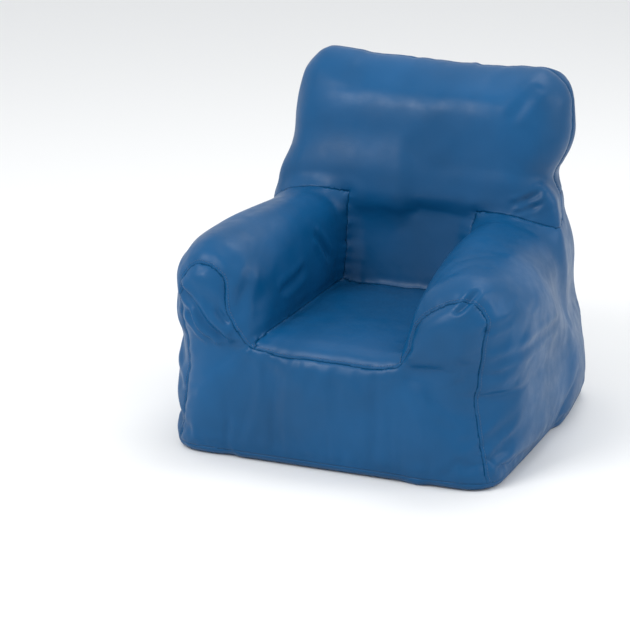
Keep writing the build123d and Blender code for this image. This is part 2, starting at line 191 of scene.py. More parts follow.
def arm_field(p, outer, front):
    """The arms: each nose rolls over its inner edge, and the one on the sitter's right is fatter."""
    x, y, z = p[..., 0], p[..., 1], p[..., 2]
    side, right = np.abs(x), rightness(x)
    nose = 1 - step_up((y - FRONT_Y) / (190 * MM))
    top = z - (ARM_Z + 3 * MM + 4 * MM * nose + (24 - 10 * nose) * MM * right)
    inner = SEAT_HALF - side - 6 * MM * hump((z - 235 * MM) / (70 * MM))
    inner_edge = round_max(top, inner, (46 + 42 * nose) * MM)
    arm = round_max(inner_edge, round_max(outer, top, 60 * MM), SHARP)
    rolled = 28 * MM + right * (32 + 40 * step_up((z - 160 * MM) / (90 * MM))) * MM
    corner = 50 * MM + (12 + 28 * (1 - right)) * MM * step_up(z / (120 * MM))
    edge = rolled + (corner - rolled) * step_up((side - 150 * MM) / (60 * MM))
    edge = edge + (66 * MM - edge) * step_up((z - ARM_Z + 75 * MM) / (60 * MM))
    arm = round_max(round_max(arm, front, edge), -z, FOOT_RADIUS)
    return np.maximum(arm, y - (REAR_Y - 40 * MM))


def seat_field(p, front):
    """The seat: crowned in the middle, with a round front edge."""
    x, y, z = p[..., 0], p[..., 1], p[..., 2]
    crown = 9 * MM * hump(x / (115 * MM)) * hump((y + 90 * MM) / (190 * MM))
    seat = round_max(z - SEAT_Z - crown, front, 44 * MM)
    seat = np.maximum(np.maximum(seat, np.abs(x) - 140 * MM), y - CREASE_Y - 30 * MM)
    return round_max(seat, -z, FOOT_RADIUS)


def lower_back_field(p, outer, rear):
    """The back up to the shoulders."""
    z = p[..., 2]
    shoulder = z - SHOULDER_Z - 12 * MM
    lower = round_max(round_max(outer, rear, 52 * MM), shoulder, 30 * MM)
    lower = round_max(lower, -behind_back(p), 12 * MM)
    return round_max(lower, -z, 26 * MM)


def head_rest_field(p, rear):
    """The head rest: a fat cushion that leans back, and dips on the left, where its foot is drawn in."""
    x, z = p[..., 0], p[..., 2]
    side = np.abs(x)
    left = 1 - rightness(x)
    width = arc_x(np.clip(z, 0, TOP_Z), (211 * MM, 300 * MM), (218 * MM, 425 * MM), (200 * MM, TOP_Z))
    width = width + left * (7 * MM - 29 * MM * step_up((425 * MM - z) / (120 * MM)))
    outer = side - width
    fullness = 14 * MM * hump(x / (205 * MM)) * hump((z - 360 * MM) / (165 * MM))
    front = -behind_back(p) - fullness + 2 * MM
    ear = 5 * MM * hump((side - 165 * MM) / (60 * MM))
    top = z - TOP_Z - ear - 12 * MM + HEAD_DIP * (x + 200 * MM)
    head = round_max(round_max(outer, top, 40 * MM), front, 44 * MM)
    head = round_max(head, round_max(outer, rear, 46 * MM), SHARP)
    head = round_max(head, round_max(top, rear, 46 * MM), SHARP)
    return round_max(head, 298 * MM - z, 20 * MM)


def form(p):
    """Signed distance, about, from the stuffed chair's skin."""
    outer, front, rear = flank_field(p), front_field(p), rear_field(p)
    lower = lower_back_field(p, outer, rear)
    head = head_rest_field(p, rear)
    back = soft_min(lower, head, (20 + 40 * rightness(p[..., 0])) * MM)
    return soft_min(soft_min(back, arm_field(p, outer, front), 34 * MM), seat_field(p, front), 14 * MM)


def net_vertices(field, low, step):
    """A vertex in each cell that the field's zero surface crosses, and the number of each cell's vertex."""
    shape = np.array(field.shape) - 1
    total = np.zeros((*shape, 3))
    count = np.zeros(shape)
    cell = np.stack(np.meshgrid(*[np.arange(n) for n in shape], indexing="ij"), -1).astype(float)

    def corner(offset):
        return tuple(slice(o, o + n) for o, n in zip(offset, shape))

    for axis in range(3):
        others = [a for a in range(3) if a != axis]
        for i in (0, 1):
            for j in (0, 1):
                start = np.zeros(3, int)
                start[others[0]], start[others[1]] = i, j
                end = start.copy()
                end[axis] = 1
                a, b = field[corner(start)], field[corner(end)]
                crosses = (a < 0) != (b < 0)
                t = np.where(crosses, a / np.where(crosses, a - b, 1), 0)
                point = cell + start
                point[..., axis] += t
                total += point * crosses[..., None]
                count += crosses
    used = count > 0
    index = np.full(shape, -1)
    index[used] = np.arange(used.sum())
    return total[used] / count[used][:, None] * step + low, index


def surface_net(field, low, step):
    """Vertices and quads of the zero surface of a field that was sampled on a grid."""
    verts, index = net_vertices(field, low, step)
    inside = field < 0
    quads = []
    for axis in range(3):
        u, v = [a for a in range(3) if a != axis]
        first = [slice(None)] * 3
        second = [slice(None)] * 3
        first[axis], second[axis] = slice(0, -1), slice(1, None)
        a, b = inside[tuple(first)], inside[tuple(second)]
        where = np.argwhere(a != b)
        starts_inside = a[a != b]
        ring = []
        for du, dv in ((1, 1), (0, 1), (0, 0), (1, 0)):
            near = where.copy()
            near[:, u] -= du
            near[:, v] -= dv
            ring.append(index[tuple(near.T)])
        ring = np.stack(ring, 1)
        flip = starts_inside if axis == 1 else ~starts_inside
        ring[flip] = ring[flip][:, ::-1]
        quads.append(ring)
    return verts, np.concatenate(quads)


def surface_of(field, cell, margin):
    """Vertices and quads of a field's zero surface. The grid reaches margin cells past the chair."""
    low = np.array([-HALF_WIDTH, FRONT_Y, 0]) - margin * cell
    high = np.array([HALF_WIDTH, REAR_Y, TOP_Z]) + margin * cell
    axes = [np.arange(a, b, cell) for a, b in zip(low, high)]
    grid = np.stack(np.meshgrid(*axes, indexing="ij"), -1)
    return surface_net(field(grid), low, cell)


def gradient(p, reach=1.0 * MM):
    """Which way the form's field rises, and how steeply."""
    return np.stack([(form(p + e) - form(p - e)) / (2 * reach) for e in np.eye(3) * reach], -1)


def vertex_places(me):
    co = np.empty(len(me.vertices) * 3)
    me.vertices.foreach_get("co", co)
    return co.reshape(-1, 3)


def edge_pairs(me):
    pairs = np.empty(len(me.edges) * 2, int)
    me.edges.foreach_get("vertices", pairs)
    return pairs.reshape(-1, 2)


def relax(co, pairs, rounds, share=0.5, hold=None):
    """Moves each vertex towards the mean of its neighbours."""
    count = np.bincount(pairs.ravel(), minlength=len(co))[:, None]
    for _ in range(rounds):
        total = np.zeros_like(co)
        np.add.at(total, pairs[:, 0], co[pairs[:, 1]])
        np.add.at(total, pairs[:, 1], co[pairs[:, 0]])
        moved = co + (total / np.maximum(count, 1) - co) * share
        if hold is not None:
            moved[hold] = co[hold]
        co = moved
    return co


def make_skin():
    """The form's closed skin, settled onto the zero surface so that it is smooth."""
    verts, quads = surface_of(form, GRID, 4)
    me = bpy.data.meshes.new("skin")
    me.from_pydata([tuple(v) for v in verts], [], [tuple(int(i) for i in q) for q in quads])
    me.update()
    pairs = edge_pairs(me)
    for _ in range(4):
        verts = relax(verts, pairs, 2)
        slope = gradient(verts)
        verts = verts - form(verts)[:, None] * slope / np.maximum((slope**2).sum(-1, keepdims=True), 0.2)
    me.vertices.foreach_set("co", verts.ravel())
    me.update()
    return me


# -------------------- seams
# How far the seam of the back lies behind the plane of its front face, and how far the face may bulge.
BACK_SEAM = 60 * MM
HEAD_BULGE = 60 * MM
# The seat panel may dip this far under the seat's height.
SEAT_DROP = 60 * MM
# The opening in the rear that the zip fills.
SLOT_HALF = 180 * MM
SLOT_RISE = 7 * MM
PANELS = (
    "base_panel", "front_panel", "rear_upper_panel", "rear_lower_panel", "back_front_panel",
    "back_boxing_panel", "seat_panel", "left_arm_panel", "right_arm_panel", "zip_slot",
)
ID = {name: i for i, name in enumerate(PANELS)}


def panel_of(p):
    """The panel that each point of the skin belongs to."""
    x, y, z = p[..., 0], p[..., 1], p[..., 2]
    side, back = np.abs(x), behind_back(p)
    arm = np.where(x > 0, ID["left_arm_panel"], ID["right_arm_panel"])
    panel = np.where(z > NOTCH_Z, ID["back_boxing_panel"], arm)
    between = (side < SEAT_HALF) & (back > side - SEAT_HALF)
    leaning = (back > -HEAD_BULGE) & (back < BACK_SEAM) & (z - SEAT_Z > CREASE_Y - y)
    is_back = leaning & ((between & (z > SEAT_Z)) | (z - ARM_Z > np.maximum(-back, 0)))
    panel = np.where(is_back, ID["back_front_panel"], panel)
    is_seat = (z + side < SEAT_Z + SEAT_HALF) & (z - SEAT_Z < CREASE_Y - y) & (side < SEAT_HALF)
    panel = np.where(is_seat & (z > SEAT_Z - SEAT_DROP), ID["seat_panel"], panel)
    rear = np.where(z > ZIP_Z, ID["rear_upper_panel"], ID["rear_lower_panel"])
    slot = (np.abs(z - ZIP_Z) < SLOT_RISE) & (side < SLOT_HALF)
    rear = np.where(slot, ID["zip_slot"], rear)
    panel = np.where(y > REAR_SEAM_Y, rear, panel)
    panel = np.where(y < FRONT_SEAM_Y, ID["front_panel"], panel)
    return np.where(z < BASE_SEAM_Z, ID["base_panel"], panel)


def cut_along(bm, point, normal, region):
    """Adds edges where a plane meets the skin, on the faces whose middle is in region."""
    faces = list(bm.faces)
    middles = np.array([f.calc_center_median() for f in faces])
    chosen = [f for f, keep in zip(faces, region(middles)) if keep]
    edges = dict.fromkeys(e for f in chosen for e in f.edges)
    verts = dict.fromkeys(v for f in chosen for v in f.verts)
    geom = [*chosen, *edges, *verts]
    bmesh.ops.bisect_plane(bm, geom=geom, dist=0.05 * MM, plane_co=point, plane_no=normal)


def middle_of(p):
    """Points between the front seam and the rear seam, above the base seam."""
    return (p[:, 1] > FRONT_SEAM_Y - GRID) & (p[:, 1] < REAR_SEAM_Y + GRID) & (p[:, 2] > BASE_SEAM_Z - GRID)


def on_side(p, sign):
    """Points of the middle that lie well out on one side."""
    return middle_of(p) & (p[:, 0] * sign > 40 * MM)


def on_rear(p):
    return p[:, 1] > REAR_SEAM_Y


def cut_seams(bm):
    """Cuts the skin along every seam, and around the opening for the zip."""
    into_back = Vector((0, math.cos(LEAN_ANGLE), -math.sin(LEAN_ANGLE)))
    crease = Vector((0, CREASE_Y, SEAT_Z))
    cut_along(bm, (0, FRONT_SEAM_Y, 0), (0, 1, 0), lambda p: p[:, 2] > 0)
    cut_along(bm, (0, REAR_SEAM_Y, 0), (0, 1, 0), lambda p: p[:, 2] > 0)
    cut_along(bm, (0, 0, BASE_SEAM_Z), (0, 0, 1), lambda p: p[:, 2] < 3 * GRID + BASE_SEAM_Z)
    cut_back_seams(bm, crease, into_back)
    for sign in (-1, 1):
        cut_along(
            bm, (sign * SEAT_HALF, 0, SEAT_Z), (sign, 0, 1),
            lambda p: on_side(p, sign) & (behind_back(p) < GRID),
        )
        cut_along(
            bm, crease + Vector((sign * SEAT_HALF, 0, 0)), Vector((sign, 0, 0)) - into_back,
            lambda p: on_side(p, sign) & (p[:, 2] < ARM_Z + 12 * GRID) & (behind_back(p) < 4 * GRID),
        )
    cut_zip_slot(bm)


def cut_back_seams(bm, crease, into_back):
    """Cuts where the back meets its boxing, the flanks, the seat and the tops of the arms."""
    cut_along(
        bm, crease + into_back * BACK_SEAM, into_back,
        lambda p: middle_of(p) & (p[:, 2] > ARM_Z - 2 * GRID),
    )
    cut_along(
        bm, (0, 0, NOTCH_Z), (0, 0, 1),
        lambda p: middle_of(p) & (behind_back(p) > BACK_SEAM - GRID),
    )
    cut_along(
        bm, crease, (0, 1, 1),
        lambda p: middle_of(p) & (np.abs(p[:, 0]) < SEAT_HALF + GRID),
    )
    cut_along(
        bm, Vector((0, back_y(ARM_Z), ARM_Z)), Vector((0, 0, 1)) + into_back,
        lambda p: middle_of(p) & (np.abs(p[:, 0]) > SEAT_HALF - GRID) & (behind_back(p) < GRID),
    )
    cut_along(
        bm, (0, 0, ARM_Z), (0, 0, 1),
        lambda p: middle_of(p) & (np.abs(behind_back(p) - BACK_SEAM / 2) < BACK_SEAM / 2 + GRID),
    )


def cut_zip_slot(bm):
    """Cuts around the opening for the zip, and along its middle."""
    for height in (ZIP_Z - SLOT_RISE, ZIP_Z, ZIP_Z + SLOT_RISE):
        cut_along(bm, (0, 0, height), (0, 0, 1), on_rear)
    for sign in (-1, 1):
        cut_along(
            bm, (sign * SLOT_HALF, 0, 0), (1, 0, 0),
            lambda p: on_rear(p) & (np.abs(p[:, 2] - ZIP_Z) < 3 * GRID),
        )


def seam_vertices(bm, panel):
    """The vertices that lie between two panels, as keys in the order of the edges."""
    between = (e for e in bm.edges if len({f[panel] for f in e.link_faces}) > 1)
    return dict.fromkeys(v for e in between for v in e.verts)


def weld_slivers(bm, panel, reach):
    """Merges each vertex that nearly touches a seam into it."""
    seam = seam_vertices(bm, panel)
    targets = {}
    for v in seam:
        for e in v.link_edges:
            other = e.other_vert(v)
            if other not in seam and e.calc_length() < reach:
                targets[other] = v
    bmesh.ops.weld_verts(bm, targetmap=targets)
    bmesh.ops.dissolve_degenerate(bm, dist=0.2 * MM, edges=list(bm.edges))


def mark_panels(bm, panel):
    """Writes the panel of each face to the layer called panel."""
    middles = np.array([f.calc_center_median() for f in bm.faces])
    for f, i in zip(bm.faces, panel_of(middles)):
        f[panel] = int(i)


def sew_skin(me):
    """Cuts the skin along its seams, and marks each face's panel and each vertex on a seam."""
    bm = bmesh.new()
    bm.from_mesh(me)
    cut_seams(bm)
    panel = bm.faces.layers.int.new("panel")
    mark_panels(bm, panel)
    weld_slivers(bm, panel, 2.4 * MM)
    bmesh.ops.triangulate(bm, faces=[f for f in bm.faces if len(f.verts) > 4])
    mark = bm.verts.layers.int.new("seam")
    for v in seam_vertices(bm, panel):
        v[mark] = 1
    bm.to_mesh(me)
    bm.free()


# -------------------- cloth
SIM_FRAMES = 16
SWELL_LIMIT = 16 * MM
BACK_SMOOTHNESS = 0.92


def add_group(obj, name, weights):
    """A vertex group with a weight for each vertex."""
    group = obj.vertex_groups.new(name=name)
    for i in np.flatnonzero(weights > 0.001):
        group.add([int(i)], float(weights[i]), "REPLACE")


def pin_weights(co):
    """The base lies on the floor, and the zip keeps the rear flat around it."""
    flat = 1 - step_up((co[:, 2] - 9 * MM) / (22 * MM))
    zip_area = (1 - step_up(beyond_zip(co) / (100 * MM))) * (co[:, 1] > REAR_SEAM_Y - 20 * MM)
    return np.maximum(flat, zip_area)


def add_cloth(obj):
    """Cloth with air inside, whose seams are drawn short."""
    cloth = obj.modifiers.new("cloth", "CLOTH")
    settings = cloth.settings
    settings.quality = 5
    settings.mass = 0.3
    settings.tension_stiffness = 40
    settings.compression_stiffness = 40
    settings.shear_stiffness = 20
    settings.bending_stiffness = 1.2
    settings.vertex_group_mass = "pin"
    settings.vertex_group_shrink = "seam"
    settings.shrink_min = -0.02
    settings.shrink_max = 0.09
    settings.use_pressure = True
    settings.uniform_pressure_force = 30.0
    settings.effector_weights.gravity = 0
    cloth.collision_settings.use_collision = False
    cloth.point_cache.frame_start = 1
    cloth.point_cache.frame_end = SIM_FRAMES
    return cloth


def blown_up(obj):
    """Where the cloth's vertices are after the simulation."""
    cloth = add_cloth(obj)
    scene = bpy.context.scene
    scene.frame_start = 1
    scene.frame_end = SIM_FRAMES
    for step in range(1, SIM_FRAMES + 1):
        scene.frame_set(step)
    evaluated = obj.evaluated_get(bpy.context.evaluated_depsgraph_get())
    blown = vertex_places(evaluated.data)
    obj.modifiers.remove(cloth)
    scene.frame_set(1)
    return blown


def inflate(obj):
    """Blows the skin up as cloth, by SWELL_LIMIT at most. The back swells smoothly."""
    rest = vertex_places(obj.data)
    seam = np.empty(len(rest), int)
    obj.data.attributes["seam"].data.foreach_get("value", seam)
    add_group(obj, "pin", pin_weights(rest))
    add_group(obj, "seam", seam.astype(float))
    move = blown_up(obj) - rest
    length = np.maximum(np.linalg.norm(move, axis=1, keepdims=True), 1e-9)
    move *= SWELL_LIMIT * np.tanh(length / SWELL_LIMIT) / length
    smooth = relax(move, edge_pairs(obj.data), 40)
    on_back = step_up((rest[:, 2:] - 350 * MM) / (60 * MM)) * BACK_SMOOTHNESS
    move += (smooth - move) * on_back
    obj.data.vertices.foreach_set("co", (rest + move).ravel())
    obj.data.update()


def link(obj):
    bpy.context.scene.collection.objects.link(obj)
    return obj


def applied(obj):
    """The object's mesh with its modifiers applied."""
    depsgraph = bpy.context.evaluated_depsgraph_get()
    me = bpy.data.meshes.new_from_object(obj.evaluated_get(depsgraph), depsgraph=depsgraph)
    obj.modifiers.clear()
    return me


def new_object(name, verts, faces, material, smooth=True):
    """A linked object with one mesh and one material."""
    me = bpy.data.meshes.new(name)
    me.from_pydata(verts, [], faces)
    me.materials.append(material)
    me.polygons.foreach_set("use_smooth", np.full(len(faces), smooth))
    me.update()
    return link(bpy.data.objects.new(name, me))


def thicken(obj, thickness, offset):
    """Gives a sheet its thickness: offset 0 is both ways from the sheet, and -1 is inwards."""
    solid = obj.modifiers.new("thickness", "SOLIDIFY")
    solid.thickness = thickness
    solid.offset = offset
    obj.data = applied(obj)


def subdivide(obj):
    modifier = obj.modifiers.new("subdivide", "SUBSURF")
    modifier.levels = modifier.render_levels = 1
    obj.data = applied(obj)


def normals_of(me):
    normals = np.empty(len(me.vertices) * 3)
    me.vertex_normals.foreach_get("vector", normals)
    return normals.reshape(-1, 3)


def face_values(me, name):
    values = np.empty(len(me.polygons), int)
    me.attributes[name].data.foreach_get("value", values)
    return values


def face_corners(me):
    """The four corners of each face of a mesh of quads."""
    corners = np.empty(len(me.loops), int)
    me.loops.foreach_get("vertex_index", corners)
    return corners.reshape(-1, 4)


def sides_of(quads):
    """Every side of every quad, as pairs of vertices."""
    return np.concatenate([quads[:, [i, (i + 1) % 4]] for i in range(4)])


# -------------------- puckers, folds and creases
def seam_points(co, quads, panel):
    """Points close together along every seam of the skin."""
    edges = np.sort(sides_of(quads), axis=1)
    ids = np.tile(panel, 4)
    order = np.lexsort((edges[:, 1], edges[:, 0]))
    edges, ids = edges[order], ids[order]
    same = (edges[1:] == edges[:-1]).all(1)
    seam = edges[:-1][same & (ids[1:] != ids[:-1])]
    a, b = co[seam[:, 0]], co[seam[:, 1]]
    return np.concatenate([a + (b - a) * t for t in (0, 0.25, 0.5, 0.75)])


def nearest(points, co):
    """For each of co, the nearest of points and its distance."""
    tree = KDTree(len(points))
    for i, p in enumerate(points):
        tree.insert(p, i)
    tree.balance()
    found = [tree.find(p) for p in co]
    return points[[f[1] for f in found]], np.array([f[2] for f in found])


def ripple(p, wavelength, seed):
    """Smooth noise from -1 to 1: a few sine waves that run in spread directions."""
    random = np.random.RandomState(seed)
    total = np.zeros(len(p))
    for _ in range(7):
        direction = random.normal(size=3)
        direction /= np.linalg.norm(direction)
        length = wavelength * random.uniform(0.7, 1.5)
        total += np.sin(2 * math.pi * (p @ direction) / length + random.uniform(0, 2 * math.pi))
    return total / 3.5


def curve_through(places, steps=24):
    """Points, in metres, along a smooth line through a few places that are given in millimetres."""
    p = np.array(places, float) * MM
    p = np.concatenate([[2 * p[0] - p[1]], p, [2 * p[-1] - p[-2]]])
    t = np.linspace(0, 1, steps, endpoint=False)[:, None]
    line = []
    for a, b, c, d in zip(p[:-3], p[1:-2], p[2:-1], p[3:]):
        line.append(b + 0.5 * t * (c - a + t * (2 * a - 5 * b + 4 * c - d + t * (3 * (b - c) + d - a))))
    return np.concatenate(line + [p[-2:-1]])


def press_crease(co, normals, places, depth, width, ridge=0.5, reach=4.0):
    """Presses a valley along a line on the skin, with a low ridge on each side, faded out at both ends."""
    line = curve_through(places)
    low, high = line.min(0) - reach * width, line.max(0) + reach * width
    near = np.flatnonzero(((co > low) & (co < high)).all(1))
    if not len(near):
        return
    away = np.linalg.norm(co[near][:, None] - line[None], axis=2)
    closest = away.argmin(1)
    distance = away[np.arange(len(near)), closest] / width
    along = closest / (len(line) - 1)
    strength = step_up(np.minimum(along, 1 - along) / 0.22)
    valley = np.exp(-distance**2)
    bank = ridge * np.exp(-((distance - 2.0) ** 2) / 0.9)
    co[near] += normals[near] * ((bank - valley) * depth * strength)[:, None]


# Each fold is (depth in mm, width in mm, places along it in mm).
CREASES = (
    # Under the nose of the sitter's right arm, and the fold beside it.
    (7.0, 6.0, ((-231, -231, 246), (-219, -242, 235), (-198, -255, 220), (-178, -255, 194),
        (-157, -251, 176), (-145, -248, 166))),
    (4.5, 5.0, ((-212, -247, 212), (-204, -247, 201), (-185, -248, 181), (-165, -250, 162))),
    # Across the front of the left arm, and on along its side.
    (3.5, 5.0, ((146, -250, 148), (169, -252, 156), (183, -252, 163), (205, -250, 171),
        (219, -240, 176))),
    (3.5, 7.0, ((212, -240, 170), (238, -219, 180), (258, -195, 186), (268, -134, 189),
        (268, -62, 186), (264, -10, 182))),
    (2.5, 5.0, ((212, -242, 225), (223, -236, 230), (237, -219, 235), (251, -198, 241))),
    # The hooked fold on top of the left arm's nose.
    (5.0, 4.5, ((212, -225, 288), (207, -233, 279), (200, -242, 269), (190, -251, 258),
        (180, -254, 254))),
    # Gathers where the head rest folds over the left flank.
    (3.0, 4.5, ((150, 76, 315), (170, 84, 322), (190, 93, 332), (196, 125, 336))),
    (2.6, 4.5, ((158, 76, 302), (175, 82, 310), (191, 89, 318), (203, 103, 329))),
    (2.2, 4.5, ((150, 74, 292), (172, 78, 298), (192, 84, 304))),
    # Where the right arm meets the back, and the soft folds down its inner side.
    (4.0, 6.0, ((-107, -40, 280), (-105, -28, 266), (-101, -10, 247), (-100, 10, 222))),
    (3.0, 7.0, ((-108, -158, 220), (-104, -151, 224), (-102, -114, 229), (-101, -70, 240))),
    (2.2, 8.0, ((-131, -210, 272), (-133, -222, 250), (-135, -233, 227), (-129, -244, 190))),
    (3.0, 4.5, ((-168, -249, 222), (-155, -248, 204), (-145, -246, 190), (-134, -246, 174))),
    # The back's upper corner on the sitter's left.
    (1.6, 8.0, ((178, 142, 484), (172, 139, 476), (159, 122, 460), (150, 110, 446), (140, 104, 430))),
)


def detail_skin(obj):
    """Seam grooves, gathers beside the seams, and the folds, on the finely divided skin."""
    me = obj.data
    co, normals, quads = vertex_places(me), normals_of(me), face_corners(me)
    panel = face_values(me, "panel")
    line = seam_points(co, quads, panel)
    on_seam, distance = nearest(line, co)
    calm = pin_weights(co)
    gather = ripple(on_seam, 26 * MM, 3) * 0.55 + ripple(on_seam, 13 * MM, 5) * 0.45
    patchy = np.clip(0.7 + 0.9 * ripple(on_seam, 150 * MM, 9), 0.2, 1.6)
    pucker = gather * patchy * 1.7 * MM * np.exp(-distance / (10 * MM))
    pillow = 0.9 * MM * np.exp(-(((distance - 13 * MM) / (9 * MM)) ** 2))
    groove = -1.1 * MM * np.exp(-((distance / (2.6 * MM)) ** 2))
    sag = 0.8 * MM * ripple(co, 120 * MM, 21) + 0.35 * MM * ripple(co, 55 * MM, 23)
    shift = (pucker + pillow + sag) * (1 - calm) + groove * step_up((co[:, 2] - 14 * MM) / (10 * MM))
    co = co + normals * shift[:, None]
    for depth, width, places in CREASES:
        press_crease(co, normals, places, depth * MM, width * MM)
    co[:, 2] = np.maximum(co[:, 2], 0)
    me.vertices.foreach_set("co", co.ravel())
    me.update()


# -------------------- vinyl panels
SEAM_GAP = 0.12 * MM


def part_panel(name, panel, quads, co):
    """One sewn panel, with its edges turned a hair away from its neighbours, and its thickness."""
    used, index = np.unique(quads[panel == ID[name]], return_inverse=True)
    faces = index.reshape(-1, 4)
    points = co[used].copy()
    edges = np.sort(sides_of(faces), axis=1)
    unique, count = np.unique(edges, axis=0, return_counts=True)
    rim = np.zeros(len(points), bool)
    rim[unique[count == 1].ravel()] = True
    inward = relax(points, unique[count == 2], 1, 1.0) - points
    length = np.linalg.norm(inward, axis=1, keepdims=True)
    points[rim] += (inward / np.maximum(length, 1e-9) * SEAM_GAP)[rim]
    obj = new_object("vinyl_" + name, points.tolist(), faces.tolist(), MATERIALS["vinyl"])
    thicken(obj, VINYL_THICKNESS, -1)
    return obj


# -------------------- stitching
def level_lines(co, tris, values, level):
    """Chains of points where values, given at the vertices, pass a level."""
    above = values > level
    mixed = tris[(above[tris].sum(1) % 3) != 0]
    joined, places = {}, {}
    for tri in mixed:
        ends = []
        for i in range(3):
            a, b = int(tri[i]), int(tri[(i + 1) % 3])
            if above[a] != above[b]:
                key = (min(a, b), max(a, b))
                t = (level - values[key[0]]) / (values[key[1]] - values[key[0]])
                places[key] = co[key[0]] + (co[key[1]] - co[key[0]]) * t
                ends.append(key)
        joined.setdefault(ends[0], []).append(ends[1])
        joined.setdefault(ends[1], []).append(ends[0])
    chains, seen = [], set()
    starts = [k for k, v in joined.items() if len(v) == 1] + list(joined)
    for start in starts:
        if start in seen:
            continue
        chain, here = [start], start
        seen.add(start)
        while True:
            following = [k for k in joined[here] if k not in seen]
            if not following:
                break
            here = following[0]
            seen.add(here)
            chain.append(here)
        if start in joined[here] and len(chain) > 3:
            chain.append(start)
        chains.append(np.array([places[k] for k in chain]))
    return chains


def smooth_line(line, rounds):
    line = line.copy()
    for _ in range(rounds):
        line[1:-1] = line[1:-1] * 0.5 + (line[:-2] + line[2:]) * 0.25
    return line


def evenly(line, pitch):
    """Places a pitch apart along a line, and the line's direction at each."""
    steps = np.linalg.norm(np.diff(line, axis=0), axis=1)
    along = np.concatenate([[0], np.cumsum(steps)])
    at = np.arange(pitch / 2, along[-1] - pitch / 2, pitch)
    place = np.stack([np.interp(at, along, line[:, i]) for i in range(3)], 1)
    ahead = np.stack([np.interp(at + pitch / 4, along, line[:, i]) for i in range(3)], 1)
    return place, ahead - place


STITCH_INSET = 4.5 * MM
STITCH_PITCH = 4.2 * MM
STITCH_LENGTH = 3.1 * MM
THREAD_RADIUS = 0.42 * MM


def stitch_shape():
    """One stitch along X: a thread that dives into the vinyl at both ends."""
    rings, around = 7, 6
    verts, faces = [], []
    for i in range(rings):
        t = -1 + 2 * i / (rings - 1)
        thin = THREAD_RADIUS * (1 - 0.45 * t**4)
        lift = THREAD_RADIUS * (0.75 - 1.9 * t**4)
        for j in range(around):
            turn = 2 * math.pi * j / around
            verts.append((t * STITCH_LENGTH / 2, thin * math.cos(turn), lift + thin * math.sin(turn)))
    for i in range(rings - 1):
        for j in range(around):
            k = (j + 1) % around
            a, b = i * around, (i + 1) * around
            faces.append((a + j, b + j, b + k, a + k))
    for start in (0, (rings - 1) * around):
        ring = list(range(start, start + around))
        faces.append(ring if start == 0 else ring[::-1])
    return np.array(verts), faces


def sew_line(name, node, stitches):
    """One object that holds every stitch of a seam: stitches is a list of (place, direction, normal)."""
    shape, faces = stitch_shape()
    verts, polys = [], []
    for place, direction, normal in stitches:
        x = direction / np.linalg.norm(direction)
        y = np.cross(normal, x)
        y /= np.linalg.norm(y)
        frame_of = np.stack([x, y, np.cross(x, y)])
        base = len(verts) * len(shape)
        polys += [tuple(base + i for i in f) for f in faces]
        verts.append(place + shape @ frame_of)
    obj = new_object(name, np.concatenate(verts).tolist(), polys, MATERIALS["thread"])
    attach(obj, "chair")
    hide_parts(node)


def stitches_beside(co, normals, quads, panel, names, seams):
    """Stitches on the panels called names, beside the seams they share with the panels called seams."""
    mine = np.isin(panel, [ID[n] for n in names])
    theirs = np.isin(panel, [ID[n] for n in seams])
    touched = np.intersect1d(np.unique(quads[mine]), np.unique(quads[theirs]))
    quad = quads[mine]
    used = np.unique(quad)
    pairs = sides_of(quad)
    shared = pairs[np.isin(pairs, touched).all(1)]
    a, b = co[shared[:, 0]], co[shared[:, 1]]
    seam = np.concatenate([a + (b - a) * t for t in np.linspace(0, 1, 5)])
    close = np.zeros(len(co))
    close[used] = nearest(seam, co[used])[1]
    tris = np.concatenate([quad[:, [0, 1, 2]], quad[:, [0, 2, 3]]])
    tree = KDTree(len(used))
    for i in used:
        tree.insert(co[i], int(i))
    tree.balance()
    stitches = []
    for chain in level_lines(co, tris, close, STITCH_INSET):
        if len(chain) < 8:
            continue
        places, directions = evenly(smooth_line(chain, 3), STITCH_PITCH)
        for place, direction in zip(places, directions):
            if np.linalg.norm(direction) > 1e-7:
                stitches.append((place, direction, normals[tree.find(place)[1]]))
    return stitches


# -------------------- materials
def node_material(name, colour, roughness):
    material = bpy.data.materials.new(name)
    material.use_nodes = True
    shader = material.node_tree.nodes["Principled BSDF"]
    shader.inputs["Base Color"].default_value = (*colour, 1)
    shader.inputs["Roughness"].default_value = roughness
    return material, material.node_tree, shader


def texture(tree, kind, scale, **settings):
    """A procedural texture in the object's own metres."""
    place = tree.nodes.get("place") or tree.nodes.new("ShaderNodeTexCoord")
    place.name = "place"
    node = tree.nodes.new(kind)
    node.inputs["Scale"].default_value = scale
    for key, value in settings.items():
        if key in node.inputs:
            node.inputs[key].default_value = value
        else:
            setattr(node, key, value)
    tree.links.new(place.outputs["Object"], node.inputs["Vector"])
    return node


def span(tree, source, low, high, from_low=0.0, from_high=1.0):
    """Maps the range from_low to from_high of source onto low to high."""
    node = tree.nodes.new("ShaderNodeMapRange")
    node.inputs["From Min"].default_value = from_low
    node.inputs["From Max"].default_value = from_high
    node.inputs["To Min"].default_value = low
    node.inputs["To Max"].default_value = high
    tree.links.new(source, node.inputs["Value"])
    return node.outputs["Result"]


def colour_by(tree, shader, source, stops):
    """Colours the shader from the first stop to the second: each is (value of source, colour)."""
    ramp = tree.nodes.new("ShaderNodeValToRGB")
    for element, (position, colour) in zip(ramp.color_ramp.elements, stops):
        element.position = position
        element.color = (*colour, 1)
    tree.links.new(source, ramp.inputs["Fac"])
    tree.links.new(ramp.outputs["Color"], shader.inputs["Base Color"])


